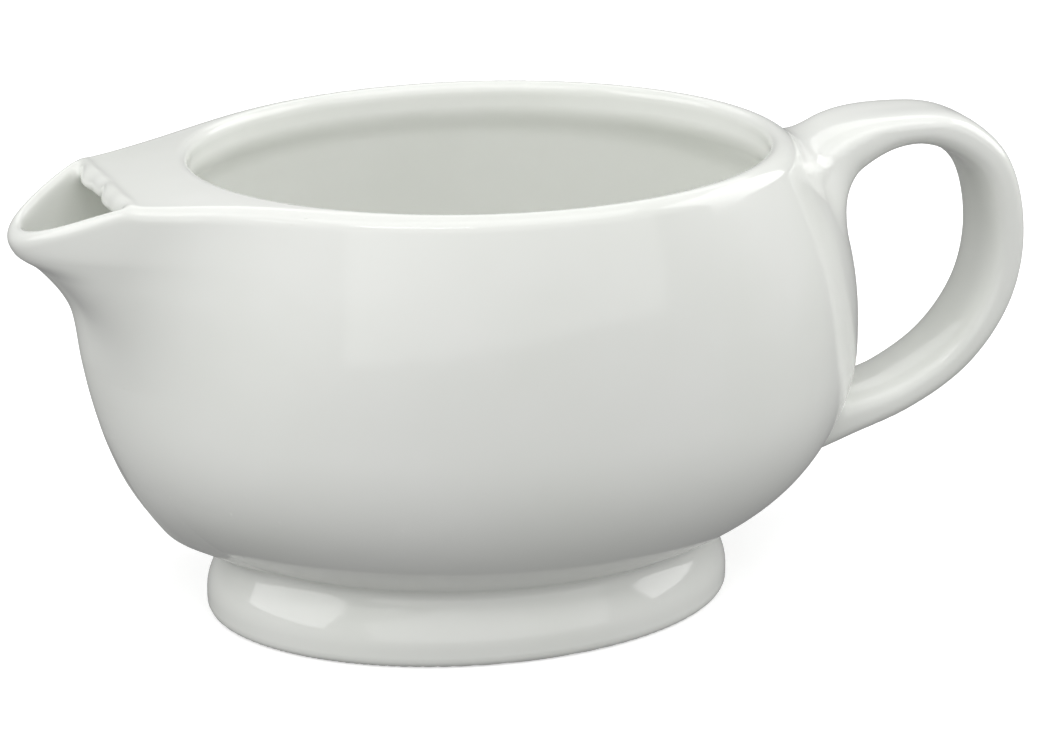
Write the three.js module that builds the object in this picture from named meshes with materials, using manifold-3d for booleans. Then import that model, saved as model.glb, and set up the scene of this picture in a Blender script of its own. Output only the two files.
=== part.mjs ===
// A gravy boat of white glazed hotel ware, in millimetres, +Z up, standing on its foot at z = 0.
// The spout points along -X and the handle along +X. Its formed pieces are luted together with slip,
// so each piece is a solid of its own, and SLIP is the thickness of the joint between two pieces.
import * as THREE from 'three';
import { ParametricGeometry } from 'three/addons/geometries/ParametricGeometry.js';
import { mergeVertices } from 'three/addons/utils/BufferGeometryUtils.js';
import Module from 'manifold-3d';

// Driving dimensions
const HEIGHT = 80.5; // table to the rim's crest
const RIM_LENGTH = 108; // outside of the rim, along X
const RIM_WIDTH = 92.5; // outside of the rim, along Y
const RIM_THICK = 4;
const BODY_LENGTH = 130.5; // widest part of the bowl, along X
const BODY_WIDTH = 102; // widest part of the bowl, along Y
const WAIST = 43; // height of the widest part
const BASE = 6; // height of the middle of the bowl's underside
const WALL = 4.2; // wall of the bowl
const FLOOR = 5; // thickness of the bowl's bottom
const STEM = 3; // how far the stem at each end stands proud of the oval
const FOOT_SHIFT = 2.5; // how far the foot's middle lies towards the spout from the bowl's axis
const SPOUT_REACH = 82; // bowl's axis to the tip of the spout
const SPOUT_WIDTH = 57; // across the spout where it leaves the bowl
const SPOUT_ROOT = 38; // bowl's axis to the line where the spout's sides start
const SPOUT_WALL = 3.2;
const SPOUT_FOOT = 24; // height of the keel's lower end
const CHANNEL_FLOOR = 54; // height of the lowest point of the pouring channel
const TIP_HEIGHT = 73; // top of the lip at the tip
const HOLE_BACK = 67; // bowl's axis to the back edge of the pour hole
const DECK = 3.2; // thickness of the bridge over the spout
const DECK_DROP = 0.8; // how far the bridge lies below the rim's crest
const HANDLE_REACH = 101; // bowl's axis to the outside of the handle
const HANDLE_WIDTH = 17;
const HANDLE_THICK = 6.4;
const FOOT_LENGTH = 92;
const FOOT_WIDTH = 73;
const FOOT_WALL = 6.5;
const FOOT_TOP = 19; // the foot is shaped this tall, and the bowl sits down into it
const SLIP = 0.3;
const SIDES = 60; // facets round the bowl
const BODY_X = (SPOUT_REACH - HANDLE_REACH) / 2; // puts the middle of the whole length at x = 0

const wasm = await Module();
wasm.setup();

// ---- Solids ----

function toSolid(geometry) {
  const bare = geometry.clone();
  bare.deleteAttribute('normal');
  bare.deleteAttribute('uv');
  const merged = mergeVertices(bare, 1e-4);
  const index = merged.index.array;
  const triVerts = [];
  for (let i = 0; i < index.length; i += 3) {
    const [a, b, c] = [index[i], index[i + 1], index[i + 2]];
    if (a !== b && b !== c && c !== a) triVerts.push(a, b, c);
  }
  return new wasm.Manifold(new wasm.Mesh({
    numProp: 3,
    vertProperties: new Float32Array(merged.attributes.position.array),
    triVerts: new Uint32Array(triVerts),
  }));
}

// A solid swept through closed rings, from the point at one end to the point at the other.
// levels is how many rings there are, and ringPoint(level, angle, target) gives a ring's points.
function sweptSolid(levels, sides, ringPoint) {
  const last = levels + 1;
  const middle = new THREE.Vector3();
  const far = new THREE.Vector3();
  const place = (u, v, target) => {
    const level = Math.round(v * last);
    if (level > 0 && level < last) {
      ringPoint(level - 1, 2 * Math.PI * (u % 1), target);
      return;
    }
    const end = level === 0 ? 0 : levels - 1;
    ringPoint(end, 0, middle);
    ringPoint(end, Math.PI, far);
    target.copy(middle.add(far).multiplyScalar(0.5));
  };
  return toSolid(new ParametricGeometry(place, sides, last));
}

function toGeometry(solid) {
  const { vertProperties, triVerts } = solid.getMesh();
  const geometry = new THREE.BufferGeometry();
  geometry.setAttribute('position', new THREE.BufferAttribute(vertProperties, 3));
  geometry.setIndex(new THREE.BufferAttribute(triVerts, 1));
  geometry.computeVertexNormals();
  return geometry;
}

// The largest of the pieces that a cut has left.
function largest(solid) {
  return solid.decompose().reduce((best, one) => (one.volume() > best.volume() ? one : best));
}

function blockSolid(low, high) {
  const size = high.map((value, axis) => value - low[axis]);
  const box = new THREE.BoxGeometry(...size);
  box.translate(...low.map((value, axis) => value + size[axis] / 2));
  return toSolid(box);
}

// ---- Bowl ----

// Half length, half width and height of each ring, from the underside to the rim.
function outsideRings() {
  const [halfLength, halfWidth] = [BODY_LENGTH / 2, BODY_WIDTH / 2];
  const rings = [];
  const depth = WAIST - BASE;
  for (let i = 1; i <= 12; i += 1) {
    const turn = (Math.PI / 2) * (i / 12);
    const reach = Math.sin(turn) ** 0.8;
    rings.push([halfLength * reach, halfWidth * reach, WAIST - depth * Math.cos(turn) ** 0.8]);
  }
  const shoulder = new THREE.SplineCurve([
    new THREE.Vector2(1, WAIST),
    new THREE.Vector2(0.985, WAIST + 12),
    new THREE.Vector2(0.925, WAIST + 24),
    new THREE.Vector2(0.85, HEIGHT - 4),
  ]);
  for (const { x, y } of shoulder.getPoints(6).slice(1)) rings.push([halfLength * x, halfWidth * x, y]);
  rings.push([RIM_LENGTH / 2, RIM_WIDTH / 2, HEIGHT - 1.2]);
  rings.push([RIM_LENGTH / 2 - 1.2, RIM_WIDTH / 2 - 1.2, HEIGHT]);
  return rings;
}

// The same for the inside, from the floor up to the rim.
function insideRings() {
  const [lipLength, lipWidth] = [RIM_LENGTH / 2 - RIM_THICK, RIM_WIDTH / 2 - RIM_THICK];
  const rings = [
    [lipLength + 2.6, lipWidth + 2.6, HEIGHT + 1],
    [lipLength + 1.4, lipWidth + 1.4, HEIGHT - 0.1],
    [lipLength, lipWidth, HEIGHT - 1.6],
    [lipLength - 0.4, lipWidth - 0.4, HEIGHT - 6],
  ];
  const walls = outsideRings().filter(([length, , z]) => z < HEIGHT - 8 && length > RIM_LENGTH * 0.3);
  for (const [length, width, z] of walls.reverse()) {
    const up = FLOOR * Math.max(0, (WAIST - z) / (WAIST - BASE)) ** 1.5;
    rings.push([length - WALL, width - WALL, z + up]);
  }
  rings.push([10, 7, BASE + FLOOR]);
  return rings.reverse();
}

// The stem makes the ends of the oval slightly pointed, most round the widest height.
function stemAt(z) {
  const rise = THREE.MathUtils.smoothstep(z, 20, 40);
  const fall = 1 - THREE.MathUtils.smoothstep(z, 62, 78);
  return STEM * rise * fall;
}

function ovalSolid(rings, grow) {
  return sweptSolid(rings.length, SIDES, (level, angle, target) => {
    const [halfLength, halfWidth, z] = rings[level];
    const c = Math.cos(angle);
    const stem = grow === null ? 0 : stemAt(z) * c ** 21;
    const more = grow ?? 0;
    const drop = level === 0 ? more : 0;
    const x = (halfLength + more) * c + stem;
    target.set(x, (halfWidth + more) * Math.sin(angle), z - drop);
  });
}

const bowlCore = ovalSolid(outsideRings(), 0);
const bowlGrown = ovalSolid(outsideRings(), SLIP).add(
  blockSolid([-RIM_LENGTH / 2 + 9, -5, BASE + 20], [RIM_LENGTH / 2 - 9, 5, HEIGHT + 20]),
);
const bowlHollow = ovalSolid(insideRings(), null);

// ---- Spout and bridge ----

// How far the keel stands from the bowl's axis at each height, from its lower end up to the lip.
const keel = new THREE.SplineCurve([
  new THREE.Vector2(BODY_LENGTH / 2 - 4, SPOUT_FOOT),
  new THREE.Vector2(BODY_LENGTH / 2 + 0.8 * STEM, WAIST - 8),
  new THREE.Vector2(BODY_LENGTH / 2 + 1.5 * STEM, WAIST + 4),
  new THREE.Vector2(SPOUT_REACH - 10.2, WAIST + 15),
  new THREE.Vector2(SPOUT_REACH - 5.2, WAIST + 23),
  new THREE.Vector2(SPOUT_REACH - 0.6, TIP_HEIGHT - 3),
  new THREE.Vector2(SPOUT_REACH, HEIGHT + 1),
]);

// The spout is a stack of level slices. Each has a parabola for its sides and a straight back.
function spoutSolid(inset, bottom, top) {
  const levels = 16;
  const reaches = keel.getPoints(80);
  return sweptSolid(levels, 44, (level, angle, target) => {
    const z = bottom + (top - bottom) * (level / (levels - 1));
    const reach = reaches.find(({ y }) => y >= z)?.x ?? SPOUT_REACH;
    const open = THREE.MathUtils.smoothstep(z, WAIST - 30, HEIGHT - 4);
    const halfWidth = (SPOUT_WIDTH / 2) * (0.18 + 0.82 * open) - inset;
    const across = angle / Math.PI - 1;
    const side = THREE.MathUtils.clamp(across * 1.3, -1, 1);
    const back = Math.max(0, Math.abs(across * 1.3) - 1) / 0.3;
    const nose = reach - inset;
    const x = -nose + (nose - SPOUT_ROOT) * side ** 2;
    target.set(x, -halfWidth * side * (1 - back * 0.999), z);
  });
}

// Everything above a line that falls from the back of the pour hole to the tip.
function aboveLip() {
  const slope = (HEIGHT - DECK_DROP - TIP_HEIGHT) / (SPOUT_REACH - HOLE_BACK);
  const outline = new THREE.Shape([
    new THREE.Vector2(-HOLE_BACK, HEIGHT - DECK_DROP),
    new THREE.Vector2(-HOLE_BACK, HEIGHT + 30),
    new THREE.Vector2(-SPOUT_REACH - 20, HEIGHT + 30),
    new THREE.Vector2(-SPOUT_REACH - 20, TIP_HEIGHT - 20 * slope),
  ]);
  const wedge = new THREE.ExtrudeGeometry(outline, { depth: 80, bevelEnabled: false });
  wedge.rotateX(Math.PI / 2);
  wedge.translate(0, 40, 0);
  return toSolid(wedge);
}

const deckTop = HEIGHT - DECK_DROP;
const channel = spoutSolid(SPOUT_WALL, CHANNEL_FLOOR, HEIGHT + 6);
const underRim = blockSolid([-100, -60, 0], [0, 60, deckTop - DECK - SLIP]);
const bowl = bowlCore.subtract(bowlHollow).subtract(channel.intersect(underRim));
const spout = largest(
  spoutSolid(0, SPOUT_FOOT, deckTop).subtract(channel).subtract(bowlGrown).subtract(aboveLip()),
);
const deckSlab = blockSolid([-HOLE_BACK, -60, deckTop - DECK], [0, 60, deckTop]);
const bridge = largest(
  spoutSolid(SPOUT_WALL + SLIP, CHANNEL_FLOOR, HEIGHT + 6).intersect(deckSlab).subtract(bowlGrown),
);

// ---- Handle ----

const outer = HANDLE_REACH - HANDLE_THICK / 2;
const handleLine = new THREE.CatmullRomCurve3([
  new THREE.Vector3(50, 0, 68.5),
  new THREE.Vector3(60, 0, 72),
  new THREE.Vector3(67, 0, 75.2),
  new THREE.Vector3(75.5, 0, 77.4),
  new THREE.Vector3(85.5, 0, 76.5),
  new THREE.Vector3(94.2, 0, 70),
  new THREE.Vector3(outer, 0, 58),
  new THREE.Vector3(95.8, 0, 46),
  new THREE.Vector3(88.7, 0, 36),
  new THREE.Vector3(78, 0, 29.4),
  new THREE.Vector3(66, 0, 26),
  new THREE.Vector3(54, 0, 23.6),
], false, 'centripetal');

// A flat strap with rounded edges, thicker and wider where it joins the bowl.
const HANDLE_STEPS = 34;
const handleStrap = sweptSolid(HANDLE_STEPS, 16, (level, angle, target) => {
  const along = level / (HANDLE_STEPS - 1);
  const centre = handleLine.getPointAt(along);
  const tangent = handleLine.getTangentAt(along);
  const flare = Math.max(0, 1 - along / 0.24, (along - 0.78) / 0.22) ** 1.5;
  const halfThick = HANDLE_THICK * (0.5 + 0.45 * flare);
  const halfWidth = HANDLE_WIDTH * (0.5 + 0.12 * flare);
  const [c, s] = [Math.cos(angle), Math.sin(angle)];
  const out = Math.sign(c) * Math.abs(c) ** 0.7 * halfThick;
  const side = Math.sign(s) * Math.abs(s) ** 0.7 * halfWidth;
  target.set(centre.x + tangent.z * out, side, centre.z - tangent.x * out);
});
const handle = largest(handleStrap.subtract(bowlGrown));

// ---- Foot ring ----

// Section of the ring: how far each point lies inside the foot's oval, and its height.
const footSection = [
  [1.4, 0], [0.3, 0.7], [0, 2], [0.3, 6], [1.2, 9.5], [2.6, 12], [3.4, FOOT_TOP],
  [FOOT_WALL + 3.4, FOOT_TOP], [FOOT_WALL + 1.6, 8], [FOOT_WALL + 0.4, 2.4], [FOOT_WALL - 1.2, 0],
];
const footRing = toSolid(new ParametricGeometry((u, v, target) => {
  const [inset, z] = footSection[Math.round(v * footSection.length) % footSection.length];
  const angle = 2 * Math.PI * (u % 1);
  const x = (FOOT_LENGTH / 2 - inset) * Math.cos(angle) - FOOT_SHIFT;
  target.set(x, (FOOT_WIDTH / 2 - inset) * Math.sin(angle), z);
}, SIDES, footSection.length));
const foot = largest(footRing.subtract(bowlGrown));

// ---- The object ----

const boat = new THREE.Group();
const glaze = { color: 0xe9ebe4, roughness: 0.12, metalness: 0 };
for (const [name, solid] of Object.entries({ bowl, spout, spout_bridge: bridge, handle, foot_ring: foot })) {
  const mesh = new THREE.Mesh(toGeometry(solid), new THREE.MeshStandardMaterial(glaze));
  mesh.name = name;
  mesh.position.x = BODY_X;
  boat.add(mesh);
}
export default boat;
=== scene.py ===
import math

import bmesh
import bpy
import numpy as np
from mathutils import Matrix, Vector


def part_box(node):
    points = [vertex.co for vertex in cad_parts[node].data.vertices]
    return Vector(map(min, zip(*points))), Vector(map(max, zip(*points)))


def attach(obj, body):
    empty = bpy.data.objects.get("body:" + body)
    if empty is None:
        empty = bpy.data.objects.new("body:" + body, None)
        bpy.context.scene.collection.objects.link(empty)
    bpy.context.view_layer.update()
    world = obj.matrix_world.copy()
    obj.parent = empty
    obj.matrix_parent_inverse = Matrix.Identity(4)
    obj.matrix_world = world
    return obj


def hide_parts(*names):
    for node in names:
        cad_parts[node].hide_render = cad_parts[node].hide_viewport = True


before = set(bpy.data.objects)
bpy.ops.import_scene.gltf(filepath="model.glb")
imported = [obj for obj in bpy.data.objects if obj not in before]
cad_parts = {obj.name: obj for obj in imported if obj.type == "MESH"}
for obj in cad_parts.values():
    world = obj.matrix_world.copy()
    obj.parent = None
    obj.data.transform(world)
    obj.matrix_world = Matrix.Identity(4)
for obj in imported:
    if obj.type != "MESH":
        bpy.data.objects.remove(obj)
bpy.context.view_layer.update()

import openvdb
from mathutils import Matrix, Vector

MM = 0.001


def node_box(node):
    low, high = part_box(node)
    return np.array(low) / MM, np.array(high) / MM


BOWL_LOW, BOWL_HIGH = node_box("bowl")
SPOUT_LOW, SPOUT_HIGH = node_box("spout")
BRIDGE_LOW, BRIDGE_HIGH = node_box("spout_bridge")
HANDLE_LOW, HANDLE_HIGH = node_box("handle")
FOOT_LOW, FOOT_HIGH = node_box("foot_ring")

# ---- Bowl sizes ----

LEAN = 2.5  # how far the rim's middle lies towards the handle from the foot's
BOWL_LEAN = LEAN * 0.15  # how much of that the bowl's own lowest slice takes up
STEM = 3.0  # how far the ends of the CAD bowl stand proud of the oval
SPINE = 4.0  # the same for the band that the handle springs from
SPINE_FOOT = (14, 38)  # heights between which the band grows
SPINE_HEAD = (62, 80)  # heights between which it fades
SPINE_NARROW = 16  # the higher, the narrower the band
WAIST = 43.0  # height of the bowl's widest part
AXIS = (FOOT_LOW[0] + FOOT_HIGH[0]) / 2 + LEAN
HEIGHT = BOWL_HIGH[2]
BASE = BOWL_LOW[2] - 0.2
HALF_LENGTH = (BOWL_HIGH[0] - BOWL_LOW[0]) / 2 - STEM
HALF_WIDTH = BOWL_HIGH[1]
RIM_LENGTH = 54.0  # half the outside of the rim, along X
RIM_WIDTH = 46.4  # half the outside of the rim, along Y
RIM_THICK = 3.6
RIM_ROUND = 2.4
LIP_BAND = 6.0  # height of the upright band inside the rim
WALL = 3.8
FLOOR = 5.0
SQUARE = 2.5  # how squashed the bowl's lower half is: 2 is an ellipsoid
SHOULDER = 2.1  # how late the bowl turns in to the rim: 1 is a cone

# ---- Spout and bridge sizes ----

SPOUT_REACH = AXIS - SPOUT_LOW[0]
SPOUT_ROOT = 38.0
SPOUT_WIDTH = 29.0  # half the width where the spout leaves the bowl
SPOUT_WALL = 3.0
SPOUT_SOLE = 15.0  # lowest height of the prow
SPOUT_FILLET = 9.0
SPOUT_LEAST = 0.2  # width of the prow's lowest slice, as a share of the widest
KEEL_EDGE = (4, 15)  # distances from the middle between which the keel's hollow fades into the flank
TIP_HEIGHT = 73.0
LIP_CURVE = 1.15  # how late the lip falls: 1 is a straight slope
CHANNEL_FLOOR = 53.0
CHANNEL_TOP = 67.5  # top of the hole through the bowl's wall
CHANNEL_HALF = 14.0  # half the width of that hole
CHANNEL_OPENS = 54.0  # how far out the channel starts to widen
DECK_TOP = BRIDGE_HIGH[2]
DECK = BRIDGE_HIGH[2] - BRIDGE_LOW[2]
DECK_ROUND = 1.6
HOLE_BACK = AXIS - BRIDGE_LOW[0]
BEAD = 0.45  # height of the bead along the back of the pour hole
BEAD_WIDTH = 1.2
BEAD_ENDS = (12, 21)  # distances from the middle between which it dies out

# ---- Handle sizes ----

HANDLE_THICK = 3.25  # half the strap's thickness
HANDLE_WIDTH = 8.4  # half the strap's width
HANDLE_REACH = HANDLE_HIGH[0] - AXIS
HANDLE_SQUARE = 3.0  # how square the strap's section is: 2 is an oval
HANDLE_END = 47.0  # where the strap stops, inside the bowl's wall
UPPER_ROOT = 0.29  # share of the strap's line over which its upper root flares
LOWER_ROOT = 0.20
LOWER_FILLET = 2.6
MORE_FILLET = 4.4  # how much wider the fillet is at the upper root
ROOT_HEIGHTS = (40, 60)  # heights between which the fillet widens

# ---- Foot sizes ----

FOOT_LENGTH = (FOOT_HIGH[0] - FOOT_LOW[0]) / 2
FOOT_WIDTH = FOOT_HIGH[1]
FOOT_WALL = 6.2
FOOT_TOP = 17.0  # where the ring stops, inside the bowl
FOOT_FLARE = 4.6  # how far the ring draws in towards its top
FOOT_TAPER = 2.2  # how much the wall thickens towards its top
FOOT_FILLET = 2.2

# ---- Meshing ----

CELL = 0.8  # grid of the whole boat
FINE_CELL = CELL * 0.6  # grid of the spout and the bridge
CUTTER_CELL = 1.5
FAR = 30.0  # distances are kept up to this far from the surface
TINY = 1e-9

# ---- Field tools ----


def smooth_min(a, b, reach):
    h = np.maximum(reach - np.abs(a - b), 0) / reach
    return np.minimum(a, b) - h * h * reach * 0.25


def smooth_max(a, b, reach):
    return -smooth_min(-a, -b, reach)


def smoothstep(value, low, high):
    t = np.clip((value - low) / (high - low), 0, 1)
    return t * t * (3 - 2 * t)


def distance(shape, x, y, z):
    """The distance to shape's zero surface, from its value over its slope."""
    step = 0.05
    value = shape(x, y, z)
    slope = np.square(shape(x + step, y, z) - value)
    slope += np.square(shape(x, y + step, z) - value)
    slope += np.square(shape(x, y, z + step) - value)
    return value * step / np.sqrt(slope + 1e-12)


def oval_wall(half_length, half_width, middle=0.0):
    """An upright oval cylinder, as a shape for distance."""
    def shape(x, y, z):
        return np.hypot((x - middle) / half_length, y / half_width) - 1 + 0 * z
    return shape


def spline(points):
    """A table of a centripetal Catmull-Rom curve through the points."""
    points = np.array(points, float)
    ends = [2 * points[0] - points[1], *points, 2 * points[-1] - points[-2]]
    table = []
    for p0, p1, p2, p3 in zip(ends, ends[1:], ends[2:], ends[3:]):
        spans = [np.linalg.norm(b - a) ** 0.5 for a, b in ((p0, p1), (p1, p2), (p2, p3))]
        k0, k1, k2, k3 = np.cumsum([0] + spans)
        t = np.linspace(k1, k2, 40, endpoint=False)[:, None]
        a1 = (k1 - t) / (k1 - k0) * p0 + (t - k0) / (k1 - k0) * p1
        a2 = (k2 - t) / (k2 - k1) * p1 + (t - k1) / (k2 - k1) * p2
        a3 = (k3 - t) / (k3 - k2) * p2 + (t - k2) / (k3 - k2) * p3
        b1 = (k2 - t) / (k2 - k0) * a1 + (t - k0) / (k2 - k0) * a2
        b2 = (k3 - t) / (k3 - k1) * a2 + (t - k1) / (k3 - k1) * a3
        table.append((k2 - t) / (k2 - k1) * b1 + (t - k1) / (k2 - k1) * b2)
    return np.vstack([*table, points[-1:]])


# ---- Bowl ----


def oval_vessel(x, y, z, inset, floor, spine):
    """A squashed oval vessel: below the waist a superellipsoid, above it a shoulder to the rim."""
    length, width = HALF_LENGTH - inset, HALF_WIDTH - inset
    along = x + BOWL_LEAN * np.maximum(0, 1 - z / HEIGHT)
    flat = np.sqrt(np.square(along / length) + np.square(y / width)) + TINY
    proud = spine * smoothstep(z, *SPINE_FOOT) * (1 - smoothstep(z, *SPINE_HEAD))
    pointed = length + proud * np.clip(along / length / flat, 0, 1) ** SPINE_NARROW
    up = np.clip((z - WAIST) / (HEIGHT - WAIST), 0, 1.3) ** SHOULDER
    draw_x = 1 - (RIM_LENGTH - inset) / length
    draw_y = 1 - (RIM_WIDTH - inset) / width
    across_x = along / pointed / (1 - draw_x * up)
    across_y = y / width / (1 - draw_y * up)
    across = np.sqrt(np.square(across_x) + np.square(across_y))
    down = np.maximum(WAIST - z, 0) / (WAIST - BASE - floor)
    return (across ** SQUARE + down ** SQUARE) ** (1 / SQUARE) - 1


def bowl_outside(x, y, z):
    return oval_vessel(x, y, z, 0, 0, SPINE)


def bowl_inside(x, y, z):
    return oval_vessel(x, y, z, WALL, FLOOR, 0)


def bowl_depth(x, y, z):
    """Distance to the bowl's outside, less than 0 inside it."""
    return distance(bowl_outside, x, y, z)


# ---- Spout and bridge ----

# The keel's line as distances out and heights, from the foot up to above the rim.
KEEL = spline([
    (48.5, 9),
    (53.4, 15.5),
    (55.4, 20.4),
    (57.6, 25),
    (60.6, 30),
    (65.1, 37),
    (68.0, WAIST),
    (69.9, WAIST + 6),
    (SPOUT_REACH - 9.6, WAIST + 16),
    (SPOUT_REACH - 4.8, WAIST + 22.6),
    (SPOUT_REACH - 0.5, TIP_HEIGHT - 3.9),
    (SPOUT_REACH + 0.7, TIP_HEIGHT + 0.3),
    (SPOUT_REACH + 0.7, HEIGHT + 20),
])

# The flanks' straighter line, as heights and distances out.
FLANK = ((WAIST - 6, WAIST + 2, TIP_HEIGHT - 3.9), (60.0, 68.2, SPOUT_REACH - 0.5))


def spout_body(x, y, z, inset):
    """Level slices with parabolas for sides. The keel's hollow curve fades out over the flatter flanks."""
    keel = np.interp(z, KEEL[:, 1], KEEL[:, 0])
    chord = np.interp(z, FLANK[0], FLANK[1])
    reach = keel + np.maximum(0, chord - keel) * smoothstep(np.abs(y), *KEEL_EDGE) - inset
    opened = SPOUT_LEAST + (1 - SPOUT_LEAST) * smoothstep(z, WAIST - 28, HEIGHT - 15)
    half = SPOUT_WIDTH * opened - inset
    return (reach - SPOUT_ROOT) * np.square(y / half) - x - reach


def spout_distance(x, y, z, inset):
    return distance(lambda a, b, c: spout_body(a, b, c, inset), x, y, z)


def lip_top(x):
    """Height of the deck, which falls from the back of the pour hole to the tip of the lip."""
    past = np.maximum(0, -HOLE_BACK - x)
    return DECK_TOP - (DECK_TOP - TIP_HEIGHT) * (past / (SPOUT_REACH - HOLE_BACK)) ** LIP_CURVE


def spout_channel(x, y, z):
    """The hollow of the spout, with the narrower hole through the bowl's wall and the deck left over it."""
    channel = spout_distance(x, y, z, SPOUT_WALL)
    channel = smooth_max(channel, CHANNEL_FLOOR - z, 6)
    channel = smooth_max(channel, x + SPOUT_ROOT, 1)
    past_wall = 2 * np.maximum(0, -x - CHANNEL_OPENS)
    channel = smooth_max(channel, np.abs(y) - CHANNEL_HALF - past_wall, 3)
    channel = smooth_max(channel, z - CHANNEL_TOP - past_wall, 3)
    ragged = 0.35 * np.sin(y * 0.43 + 1) + 0.12 * np.sin(y * 0.97 + 2.1)
    deck = smooth_max(DECK_TOP - DECK - z, -x - HOLE_BACK + ragged, DECK_ROUND)
    return smooth_max(channel, -deck, DECK_ROUND)


# ---- Handle ----

# The strap's middle line as distances out and heights, from the rim round to the lower root.
HANDLE = spline([
    (46, 65.0),
    (58, 70.6),
    (66, 75.6),
    (75, 78.1),
    (85.5, 76.7),
    (94.1, 70.2),
    (HANDLE_REACH - HANDLE_THICK - 0.2, 58),
    (95.8, 46),
    (88.8, 35.8),
    (78, 29.0),
    (66, 25.6),
    (54, 22.8),
])
HANDLE_NEAR = 30  # the strap's line is searched only past this distance out


def handle_section(x, z):
    """Signed offset from the strap's middle line, and how far along the line, for each x and z."""
    nowhere = 1e3
    offset = np.full(x.shape, nowhere)
    along = np.zeros(x.shape)
    close = x > HANDLE_NEAR
    cx, cz = x[close], z[close]
    best, best_along = np.full(cx.shape, nowhere), np.zeros(cx.shape)
    runs = np.diff(HANDLE, axis=0)
    lengths = np.concatenate([[0], np.cumsum(np.linalg.norm(runs, axis=1))])
    lengths /= lengths[-1]
    for start, run, length, next_length in zip(HANDLE, runs, lengths, lengths[1:]):
        t = np.clip(((cx - start[0]) * run[0] + (cz - start[1]) * run[1]) / np.dot(run, run), 0, 1)
        away = np.hypot(cx - start[0] - t * run[0], cz - start[1] - t * run[1])
        side = np.where((cx - start[0]) * run[1] < (cz - start[1]) * run[0], -1, 1)
        near = away < np.abs(best)
        best = np.where(near, side * away, best)
        best_along = np.where(near, length + t * (next_length - length), best_along)
    offset[close], along[close] = best, best_along
    return offset, along


def handle_field(offset, along, y):
    """A rounded strap that thickens to its roots, most of all on the loop's inner side."""
    upper = np.maximum(0, 1 - along / UPPER_ROOT) ** 1.3
    lower = np.maximum(0, (along - (1 - LOWER_ROOT)) / LOWER_ROOT) ** 1.5
    inner_side = 1.12 + 2.1 * upper + 0.6 * lower
    outer_side = 1.02 + 0.2 * upper + 0.5 * lower
    thick = HANDLE_THICK * np.where(offset > 0, inner_side, outer_side)
    wide = HANDLE_WIDTH * (1 + 0.25 * upper + 0.15 * lower)
    terms = (np.abs(offset) / thick) ** HANDLE_SQUARE + (np.abs(y) / wide) ** HANDLE_SQUARE
    shape = (terms + TINY) ** (1 / HANDLE_SQUARE)
    slope = np.hypot(offset / thick / thick, y / wide / wide) / (np.hypot(offset / thick, y / wide) + TINY)
    return (shape - 1) / np.maximum(slope, 1 / wide)


# ---- Foot ----


def foot_field(x, y, z):
    out = distance(oval_wall(FOOT_LENGTH + 0.4, FOOT_WIDTH + 0.6, -LEAN - 0.1), x, y, z)
    flare = FOOT_FLARE * smoothstep(z, 3, 15.5) ** 1.2
    inner = FOOT_TAPER * smoothstep(z, 1, 10)
    ring = smooth_max(out + flare, -(out + FOOT_WALL + inner), 1.6)
    return smooth_max(smooth_max(ring, -z, 1.8), z - FOOT_TOP, 1)


# ---- The whole boat ----


def boat_field(x, y, z, strap=None):
    """Distance to the boat's glazed surface. strap is handle_section's answer, where it is already known."""
    prow = smooth_max(spout_distance(x, y, z, 0), x + SPOUT_ROOT - 8, 1)
    prow = smooth_max(prow, SPOUT_SOLE - z, 6)
    solid = smooth_min(bowl_depth(x, y, z), prow, SPOUT_FILLET)
    offset, along = handle_section(x, z) if strap is None else strap
    loop = smooth_max(handle_field(offset, along, y), HANDLE_END - x, 1)
    solid = smooth_min(solid, loop, LOWER_FILLET + MORE_FILLET * smoothstep(z, *ROOT_HEIGHTS))
    solid = smooth_min(solid, foot_field(x, y, z), FOOT_FILLET)
    rim_out = distance(oval_wall(RIM_LENGTH, RIM_WIDTH), x, y, z)
    bead = BEAD * np.exp(-np.square((x + HOLE_BACK - 1.4) / BEAD_WIDTH))
    bead = bead * (1 - smoothstep(np.abs(y), *BEAD_ENDS))
    crest = HEIGHT - (HEIGHT - lip_top(x)) * smoothstep(rim_out, -3, 13) * (x < 0) + bead
    solid = smooth_max(solid, z - crest, RIM_ROUND)
    bore = distance(oval_wall(RIM_LENGTH - RIM_THICK, RIM_WIDTH - RIM_THICK), x, y, z)
    bore = bore - smooth_max(0, HEIGHT - LIP_BAND - z, 1.8)
    inside = smooth_max(distance(bowl_inside, x, y, z), bore, 1.8)
    hollow = smooth_min(inside, spout_channel(x, y, z), 3)
    return smooth_max(solid, -hollow, RIM_ROUND)


def field_and_slope(points):
    x, y, z = points.T
    step = 0.03
    value = boat_field(x, y, z)
    slope = np.stack([
        boat_field(x + step, y, z) - boat_field(x - step, y, z),
        boat_field(x, y + step, z) - boat_field(x, y - step, z),
        boat_field(x, y, z + step) - boat_field(x, y, z - step),
    ], axis=1) / (2 * step)
    return value, slope


def surface_quads(values, low, cell):
    """Points and quads where a grid of distances passes through 0."""
    grid = openvdb.FloatGrid(FAR)
    grid.copyFromArray(np.clip(values, -FAR, FAR).astype(np.float32))
    points, quads = grid.convertToQuads(isovalue=0.0)
    return points.astype(float) * cell + low, quads


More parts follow.
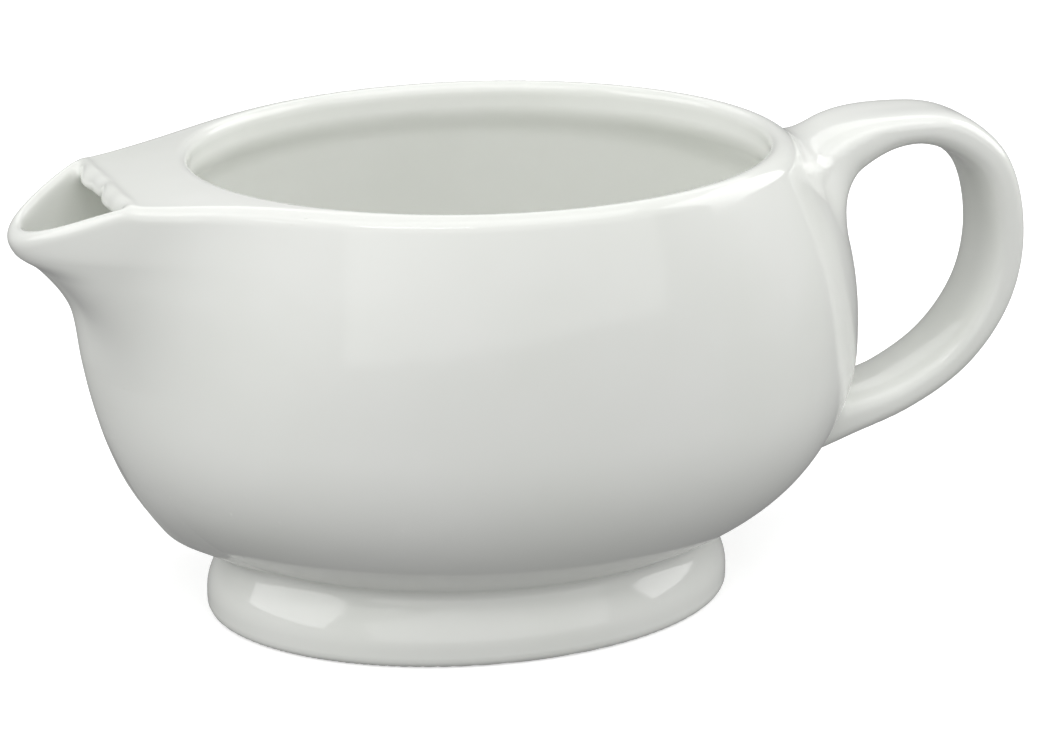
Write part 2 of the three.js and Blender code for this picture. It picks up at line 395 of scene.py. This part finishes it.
def boat_mesh(low, high, cell):
    """A closed mesh of the part of the boat between two corners, pulled onto the field's surface."""
    counts = np.ceil((high - low) / cell).astype(int) + 1
    axes = [low[i] + cell * np.arange(counts[i]) for i in range(3)]
    values = np.empty(counts, np.float32)
    gx, gz = np.meshgrid(axes[0], axes[2], indexing="ij")
    strap = handle_section(gx, gz)
    for j, y in enumerate(axes[1]):
        values[:, j, :] = boat_field(gx, np.full_like(gx, y), gz, strap)
    for side in (0, -1):
        values[side, :, :] = cell
        values[:, side, :] = cell
        values[:, :, side] = cell
    points, quads = surface_quads(values, low, cell)
    for _ in range(3):
        value, slope = field_and_slope(points)
        steepness = np.maximum(np.sum(slope * slope, axis=1), 0.2)
        move = -(value / steepness)[:, None] * slope
        length = np.linalg.norm(move, axis=1, keepdims=True)
        move *= np.minimum(1, cell * 0.6 / np.maximum(length, TINY))
        points += move * (np.abs(value) < 1.2 * cell)[:, None]
    return points, quads


def mesh_object(name, points, faces):
    mesh = bpy.data.meshes.new(name)
    mesh.from_pydata([tuple(p) for p in points], [], [tuple(f) for f in faces])
    mesh.validate()
    mesh.update()
    made = bpy.data.objects.new(name, mesh)
    bpy.context.scene.collection.objects.link(made)
    return made


# ---- The regions that the pieces are cut by ----

JOINT_DEPTH = 1.4  # how deep the handle and the spout are let into the bowl's wall
FOOT_DEPTH = 1.0
BRIDGE_DEPTH = 2.3
FOOT_JOINT = 12.9  # height where the foot ring ends and the bowl begins
FOOT_COVER = 6.0  # how far in past its wall the foot's region reaches


def handle_region(x, y, z):
    offset, _ = handle_section(x, z)
    spread = smoothstep(z, 38, 52)
    strap = np.maximum(np.abs(offset) - 8.5 - 2.5 * spread, np.abs(y) - 12 - 3 * spread)
    return np.maximum(np.maximum(strap, 52 - x), -JOINT_DEPTH - bowl_depth(x, y, z))


def foot_region(x, y, z):
    out = distance(oval_wall(FOOT_LENGTH, FOOT_WIDTH, -LEAN), x, y, z)
    hull = np.maximum(-FOOT_DEPTH - bowl_depth(x, y, z), z - FOOT_JOINT)
    return np.maximum(hull, -(out + FOOT_WALL + FOOT_COVER))


def spout_region(x, y, z):
    prow = np.maximum(spout_distance(x, y, z, -4), x + SPOUT_ROOT - 2)
    return np.maximum(np.maximum(prow, 18 - z), -JOINT_DEPTH - bowl_depth(x, y, z))


def bridge_region(x, y, z):
    between = spout_distance(x, y, z, SPOUT_WALL - 0.4)
    slab = np.maximum(DECK_TOP - DECK - 3 - z, -x - HOLE_BACK - 3)
    return np.maximum(np.maximum(between, slab), -BRIDGE_DEPTH - bowl_depth(x, y, z))


def region_object(name, region, low, high):
    """A closed mesh of a region between two corners, on a coarse grid."""
    cell = CUTTER_CELL
    low, high = np.array(low) - 2 * cell, np.array(high) + 2 * cell
    counts = np.ceil((high - low) / cell).astype(int) + 1
    places = np.meshgrid(*[low[i] + cell * np.arange(counts[i]) for i in range(3)], indexing="ij")
    sides = [low[i] + 2 * cell - places[i] for i in range(3)]
    sides += [places[i] - high[i] + 2 * cell for i in range(3)]
    return mesh_object(name, *surface_quads(np.maximum(region(*places), np.max(sides, axis=0)), low, cell))


# ---- The five pieces, cut from the boat ----


def cut(name, source, operation, cutter):
    """A new object: source cut by, or kept inside, the cutter."""
    result = source.modifiers.new("cut", "BOOLEAN")
    result.operation = operation
    result.object = cutter
    result.solver = "MANIFOLD"
    bpy.context.view_layer.update()
    ready = source.evaluated_get(bpy.context.evaluated_depsgraph_get())
    mesh = bpy.data.meshes.new_from_object(ready)
    source.modifiers.clear()
    mesh.name = name
    made = bpy.data.objects.new(name, mesh)
    bpy.context.scene.collection.objects.link(made)
    return made


def discard(*spent):
    for old in spent:
        bpy.data.meshes.remove(old.data)


MARGIN = 4  # empty space round a meshed part, so that its surface closes
HIGH = HEIGHT + 6
PROW_LOW = (-SPOUT_REACH - MARGIN, -37, 14)
PROW_HIGH = (-33, 37, HEIGHT + MARGIN)

boat_low = np.array([-SPOUT_REACH, -HALF_WIDTH, 0]) - MARGIN
boat_high = np.array([HANDLE_REACH, HALF_WIDTH, HEIGHT]) + MARGIN
whole = mesh_object("whole", *boat_mesh(boat_low, boat_high, CELL))
front = mesh_object("front", *boat_mesh(np.array(PROW_LOW), np.array(PROW_HIGH), FINE_CELL))
handle_cutter = region_object("handle_cutter", handle_region, (50, -16, 6), (HANDLE_REACH + 6, 16, HIGH))
foot_cutter = region_object("foot_cutter", foot_region, (-60, -42, -4), (60, 42, 16))
spout_cutter = region_object("spout_cutter", spout_region, (-SPOUT_REACH - 5, -36, 16), (-30, 36, HIGH))
bridge_cutter = region_object("bridge_cutter", bridge_region, (-HOLE_BACK - 5, -30, 70), (-40, 30, HIGH))

pieces = {
    "handle": cut("glazed_handle", whole, "INTERSECT", handle_cutter),
    "foot_ring": cut("glazed_foot_ring", whole, "INTERSECT", foot_cutter),
    "spout_bridge": cut("glazed_spout_bridge", front, "INTERSECT", bridge_cutter),
}
prow = cut("prow", front, "INTERSECT", spout_cutter)
pieces["spout"] = cut("glazed_spout", prow, "DIFFERENCE", bridge_cutter)
rest = whole
for cutter in (handle_cutter, foot_cutter, bridge_cutter, spout_cutter):
    smaller = cut("cut_bowl", rest, "DIFFERENCE", cutter)
    discard(rest)
    rest = smaller
rest.name = "glazed_bowl"
pieces["bowl"] = rest
discard(front, prow, handle_cutter, foot_cutter, spout_cutter, bridge_cutter)

# ---- Material tools ----


def new_material(name):
    """A new material, its node tree and its shader."""
    made = bpy.data.materials.new(name)
    made.use_nodes = True
    return made, made.node_tree, made.node_tree.nodes["Principled BSDF"]


def add_node(tree, kind, **values):
    made = tree.nodes.new("ShaderNode" + kind)
    for name, value in values.items():
        made.inputs[name].default_value = value
    return made


def tone_between(tree, factor, first, second):
    """A colour ramp of two stops, each a position and a colour."""
    made = add_node(tree, "ValToRGB")
    for stop, (position, colour) in zip(made.color_ramp.elements, (first, second)):
        stop.position = position
        stop.color = colour
    tree.links.new(factor, made.inputs["Fac"])
    return made.outputs["Color"]


def compare(tree, operation, value, level):
    made = add_node(tree, "Math")
    made.operation = operation
    made.inputs[1].default_value = level
    tree.links.new(value, made.inputs[0])
    return made.outputs[0]


# ---- Glaze ----

glaze, tree, shader = new_material("white_glaze")
shader.inputs["Roughness"].default_value = 0.09
shader.inputs["IOR"].default_value = 1.5
where = add_node(tree, "TexCoord").outputs["Object"]

# A faint change of tone.
tint = add_node(tree, "TexNoise", Scale=34.0, Detail=3.0)
tree.links.new(where, tint.inputs["Vector"])
clay = tone_between(tree, tint.outputs["Fac"], (0.3, (0.80, 0.815, 0.775, 1)), (0.7, (0.83, 0.84, 0.81, 1)))

# A few dark specks: small dots in some of the cells.
cells = add_node(tree, "TexVoronoi", Scale=95.0)
tree.links.new(where, cells.inputs["Vector"])
picked = add_node(tree, "SeparateColor")
tree.links.new(cells.outputs["Color"], picked.inputs["Color"])
speck = add_node(tree, "Math")
speck.operation = "MULTIPLY"
tree.links.new(compare(tree, "LESS_THAN", cells.outputs["Distance"], 0.035), speck.inputs[0])
tree.links.new(compare(tree, "GREATER_THAN", picked.outputs["Red"], 0.985), speck.inputs[1])
speckled = add_node(tree, "Mix")
speckled.data_type = "RGBA"
speckled.inputs["B"].default_value = (0.12, 0.11, 0.09, 1)
tree.links.new(speck.outputs[0], speckled.inputs["Factor"])
tree.links.new(clay, speckled.inputs["A"])
tree.links.new(speckled.outputs["Result"], shader.inputs["Base Color"])

# The slow ripple of a dipped glaze.
ripple = add_node(tree, "TexNoise", Scale=55.0, Detail=1.5)
tree.links.new(where, ripple.inputs["Vector"])
bump = add_node(tree, "Bump", Strength=0.25, Distance=0.0006)
tree.links.new(ripple.outputs["Fac"], bump.inputs["Height"])
tree.links.new(bump.outputs["Normal"], shader.inputs["Normal"])

# ---- Finishing the pieces ----

ON_SURFACE = 0.12  # a point this close to the field's surface is on the glaze
AGREE = 0.5  # least cosine between a glazed face and the field's slope
SLIVER = 0.03  # area under which a face's own direction isn't trusted, in mm2


def keep_largest_part(mesh):
    edit = bmesh.new()
    edit.from_mesh(mesh)
    unseen = set(edit.verts)
    parts = []
    while unseen:
        stack = [unseen.pop()]
        part = set(stack)
        while stack:
            for edge in stack.pop().link_edges:
                for vert in edge.verts:
                    if vert in unseen:
                        unseen.discard(vert)
                        part.add(vert)
                        stack.append(vert)
        parts.append(part)
    parts.sort(key=len)
    for part in parts[:-1]:
        bmesh.ops.delete(edit, geom=list(part), context="VERTS")
    edit.to_mesh(mesh)
    edit.free()


def read(items, attribute, width=1, kind=float):
    """One attribute of all of a mesh's items, as an array."""
    values = np.empty(len(items) * width, kind)
    items.foreach_get(attribute, values)
    return values.reshape(-1, width) if width > 1 else values


def set_normals(mesh):
    """Smooth shading from the field on the glazed surface, flat shading on the cut faces."""
    value, slope = field_and_slope(read(mesh.vertices, "co", 3))
    steepest = slope / np.maximum(np.linalg.norm(slope, axis=1, keepdims=True), TINY)
    on_glaze = np.abs(value) < ON_SURFACE
    flat = read(mesh.polygons, "normal", 3)
    corners = read(mesh.loops, "vertex_index", kind=int)
    sizes = read(mesh.polygons, "loop_total", kind=int)
    owner = np.repeat(np.arange(len(sizes)), sizes)
    first_corner = np.concatenate([[0], np.cumsum(sizes)[:-1]])
    glazed = np.minimum.reduceat(on_glaze[corners].astype(int), first_corner) > 0
    small = read(mesh.polygons, "area")[owner] < SLIVER
    agree = (np.sum(flat[owner] * steepest[corners], axis=1) > AGREE) | small
    normals = np.where((glazed[owner] & agree)[:, None], steepest[corners], flat[owner])
    mesh.polygons.foreach_set("use_smooth", np.ones(len(sizes), bool))
    mesh.normals_split_custom_set(normals.tolist())


for node, piece in pieces.items():
    keep_largest_part(piece.data)
    set_normals(piece.data)
    piece.data.transform(Matrix.Translation((AXIS * MM, 0, 0)) @ Matrix.Scale(MM, 4))
    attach(piece, "root")
    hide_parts(node)
    piece.data.materials.clear()
    piece.data.materials.append(glaze)

# ---- Floor, in metres from here on ----

floor_mesh = bpy.data.meshes.new("floor")
edit = bmesh.new()
bmesh.ops.create_grid(edit, x_segments=1, y_segments=1, size=4)
edit.to_mesh(floor_mesh)
edit.free()
floor = bpy.data.objects.new("floor", floor_mesh)
bpy.context.scene.collection.objects.link(floor)

# Pale paper that glows a little, like a light table. It takes the boat's shadow, but throws no light back.
floor.visible_diffuse = False
floor.visible_glossy = False
paper, tree, shader = new_material("paper")
shader.inputs["Roughness"].default_value = 0.9
shader.inputs["Emission Color"].default_value = (1, 1, 1, 1)
shader.inputs["Emission Strength"].default_value = 0.42
grain = add_node(tree, "TexNoise", Scale=60.0)
white = tone_between(tree, grain.outputs["Fac"], (0, (0.875, 0.875, 0.875, 1)), (1, (0.885, 0.885, 0.885, 1)))
tree.links.new(white, shader.inputs["Base Color"])
floor.data.materials.append(paper)

# ---- Light ----

world = bpy.data.worlds.new("studio")
bpy.context.scene.world = world
world.use_nodes = True
world.node_tree.nodes["Background"].inputs["Color"].default_value = (1, 1, 1, 1)
world.node_tree.nodes["Background"].inputs["Strength"].default_value = 0.25
bpy.context.scene.view_settings.view_transform = "Standard"


def softbox(name, place, aim, width, height, watts):
    light = bpy.data.lights.new(name, "AREA")
    light.shape = "RECTANGLE"
    light.size, light.size_y = width, height
    light.energy = watts
    lamp = bpy.data.objects.new(name, light)
    lamp.location = place
    lamp.rotation_euler = (Vector(aim) - Vector(place)).to_track_quat("-Z", "Y").to_euler()
    bpy.context.scene.collection.objects.link(lamp)


MIDDLE = (0, 0, 0.04)
softbox("front_high", (0.0, -0.51, 1.09), MIDDLE, 1.5, 0.9, 6.4)
softbox("front_low", (0.0, -1.0, 0.35), MIDDLE, 2.0, 0.8, 4.5)
softbox("left_side", (-1.04, 0.0, 0.6), MIDDLE, 1.1, 0.8, 6.6)
softbox("right_side", (1.04, 0.0, 0.6), MIDDLE, 1.1, 0.8, 7.4)
softbox("background", (0.0, 1.3, 1.1), (0, 1.5, 0), 2.2, 1.2, 8.0)
softbox("strip", (-0.35, -0.6, 0.75), MIDDLE, 0.5, 0.03, 0.5)

# ---- Camera ----

AZIMUTH, ELEVATION = math.radians(19.9), math.radians(17.84)
DISTANCE = 0.704
AIM = Vector((0.0005, 0.0076, 0.0359))
toward = Vector((
    math.sin(AZIMUTH) * math.cos(ELEVATION),
    math.cos(AZIMUTH) * math.cos(ELEVATION),
    -math.sin(ELEVATION),
))
camera_data = bpy.data.cameras.new("camera")
camera_data.lens = 138.2
camera_data.sensor_width = 36
camera = bpy.data.objects.new("camera", camera_data)
camera.location = AIM - toward * DISTANCE
camera.rotation_euler = toward.to_track_quat("-Z", "Y").to_euler()
bpy.context.scene.collection.objects.link(camera)
bpy.context.scene.camera = camera
